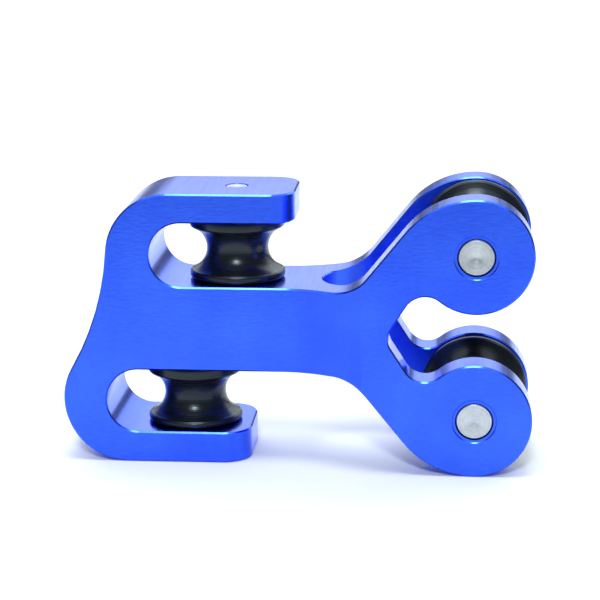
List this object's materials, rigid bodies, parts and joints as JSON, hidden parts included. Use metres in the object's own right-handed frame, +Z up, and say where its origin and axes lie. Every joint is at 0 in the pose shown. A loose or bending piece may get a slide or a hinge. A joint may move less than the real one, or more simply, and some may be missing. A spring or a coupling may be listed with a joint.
{
  "type": "roller cable slide",
  "caption": "Milled forked slide that runs along a round guide rod on grooved cross rollers and holds cables aside against upright grooved rollers.",
  "frame": {"origin": "middle of the bounding box in X and Y, on the plane the slide stands on", "axes": "+X towards the open end of the fork, +Y across the slide (its mirror plane is Y = 0), +Z up, along the guide rod"},
  "size_m": [0.0526, 0.019, 0.0311],
  "materials": {
    "blue_anodised_aluminium": "bright blue anodise over a finely machined surface",
    "black_acetal": "turned black plastic, satin",
    "pin_steel": "turned steel with concentric tool rings",
    "bronze": "sintered bronze, dull",
    "washer_polymer": "thin pale plastic sheet"
  },
  "bodies": {
    "slide_body": {"milled_body": "blue_anodised_aluminium", "upper_rod_washer_front": "washer_polymer", "upper_rod_washer_back": "washer_polymer", "upper_rod_pin": "pin_steel", "lower_rod_washer_front": "washer_polymer", "lower_rod_washer_back": "washer_polymer", "lower_rod_pin": "pin_steel", "upper_cable_washer_inner": "washer_polymer", "upper_cable_washer_outer": "washer_polymer", "upper_cable_pin": "pin_steel", "lower_cable_washer_inner": "washer_polymer", "lower_cable_washer_outer": "washer_polymer", "lower_cable_pin": "pin_steel"},
    "upper_rod_roller_body": {"upper_rod_roller": "black_acetal", "upper_rod_bush": "bronze"},
    "lower_rod_roller_body": {"lower_rod_roller": "black_acetal", "lower_rod_bush": "bronze"},
    "upper_cable_roller_body": {"upper_cable_roller": "black_acetal", "upper_cable_bush": "bronze"},
    "lower_cable_roller_body": {"lower_cable_roller": "black_acetal", "lower_cable_bush": "bronze"}
  },
  "joints": [
    {"name": "upper_rod_roller_spin", "type": "hinge", "parent": "slide_body", "child": "upper_rod_roller_body", "pos_m": [0.01997, 0, 0.02475], "axis": [0, 1, 0], "continuous": true},
    {"name": "lower_rod_roller_spin", "type": "hinge", "parent": "slide_body", "child": "lower_rod_roller_body", "pos_m": [0.01997, 0, 0.00635], "axis": [0, 1, 0], "continuous": true},
    {"name": "upper_cable_roller_spin", "type": "hinge", "parent": "slide_body", "child": "upper_cable_roller_body", "pos_m": [-0.00702, 0, 0.02395], "axis": [0, 0, 1], "continuous": true},
    {"name": "lower_cable_roller_spin", "type": "hinge", "parent": "slide_body", "child": "lower_cable_roller_body", "pos_m": [-0.01213, 0, 0.00715], "axis": [0, 0, 1], "continuous": true}
  ]
}
